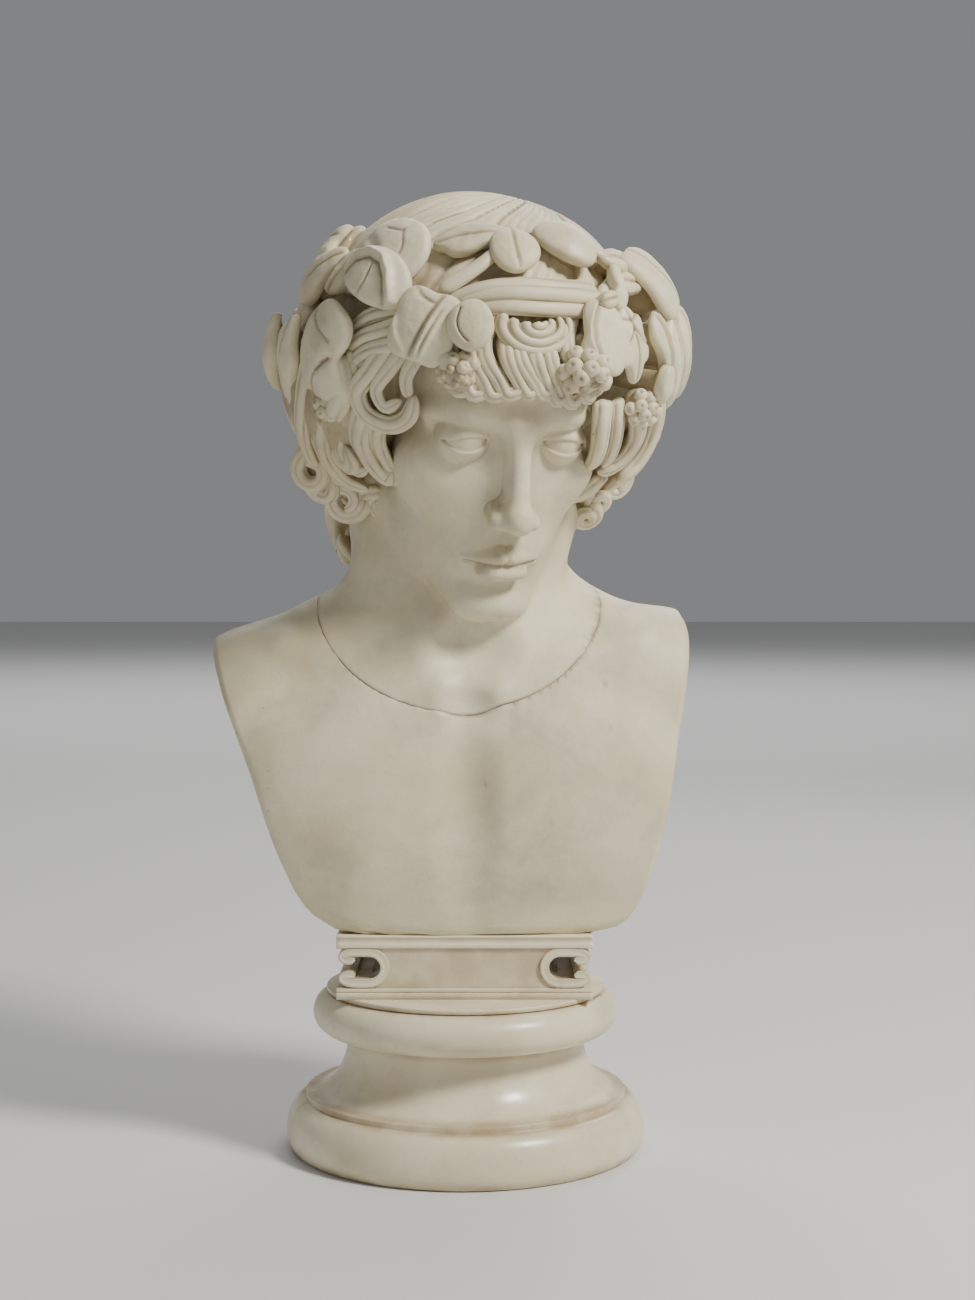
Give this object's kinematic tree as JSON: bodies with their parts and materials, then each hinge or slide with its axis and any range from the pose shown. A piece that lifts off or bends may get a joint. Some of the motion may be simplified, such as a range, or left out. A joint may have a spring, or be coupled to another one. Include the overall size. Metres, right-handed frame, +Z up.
{
  "type": "portrait head sculpture",
  "caption": "Marble portrait head with a leafy wreath, its neck set in a bare bust on a turned round socle, for display.",
  "frame": {"origin": "centre of the socle's round underside, on the floor", "axes": "+Z up through the head, -Y towards the viewer who faces the chest, +X to that viewer's right"},
  "size_m": [0.4023, 0.3612, 0.8036],
  "materials": {
    "figure_marble": "satin",
    "socle_marble": "satin"
  },
  "bodies": {
    "root": {"head": "figure_marble", "bust": "figure_marble", "socle": "socle_marble"}
  },
  "joints": []
}
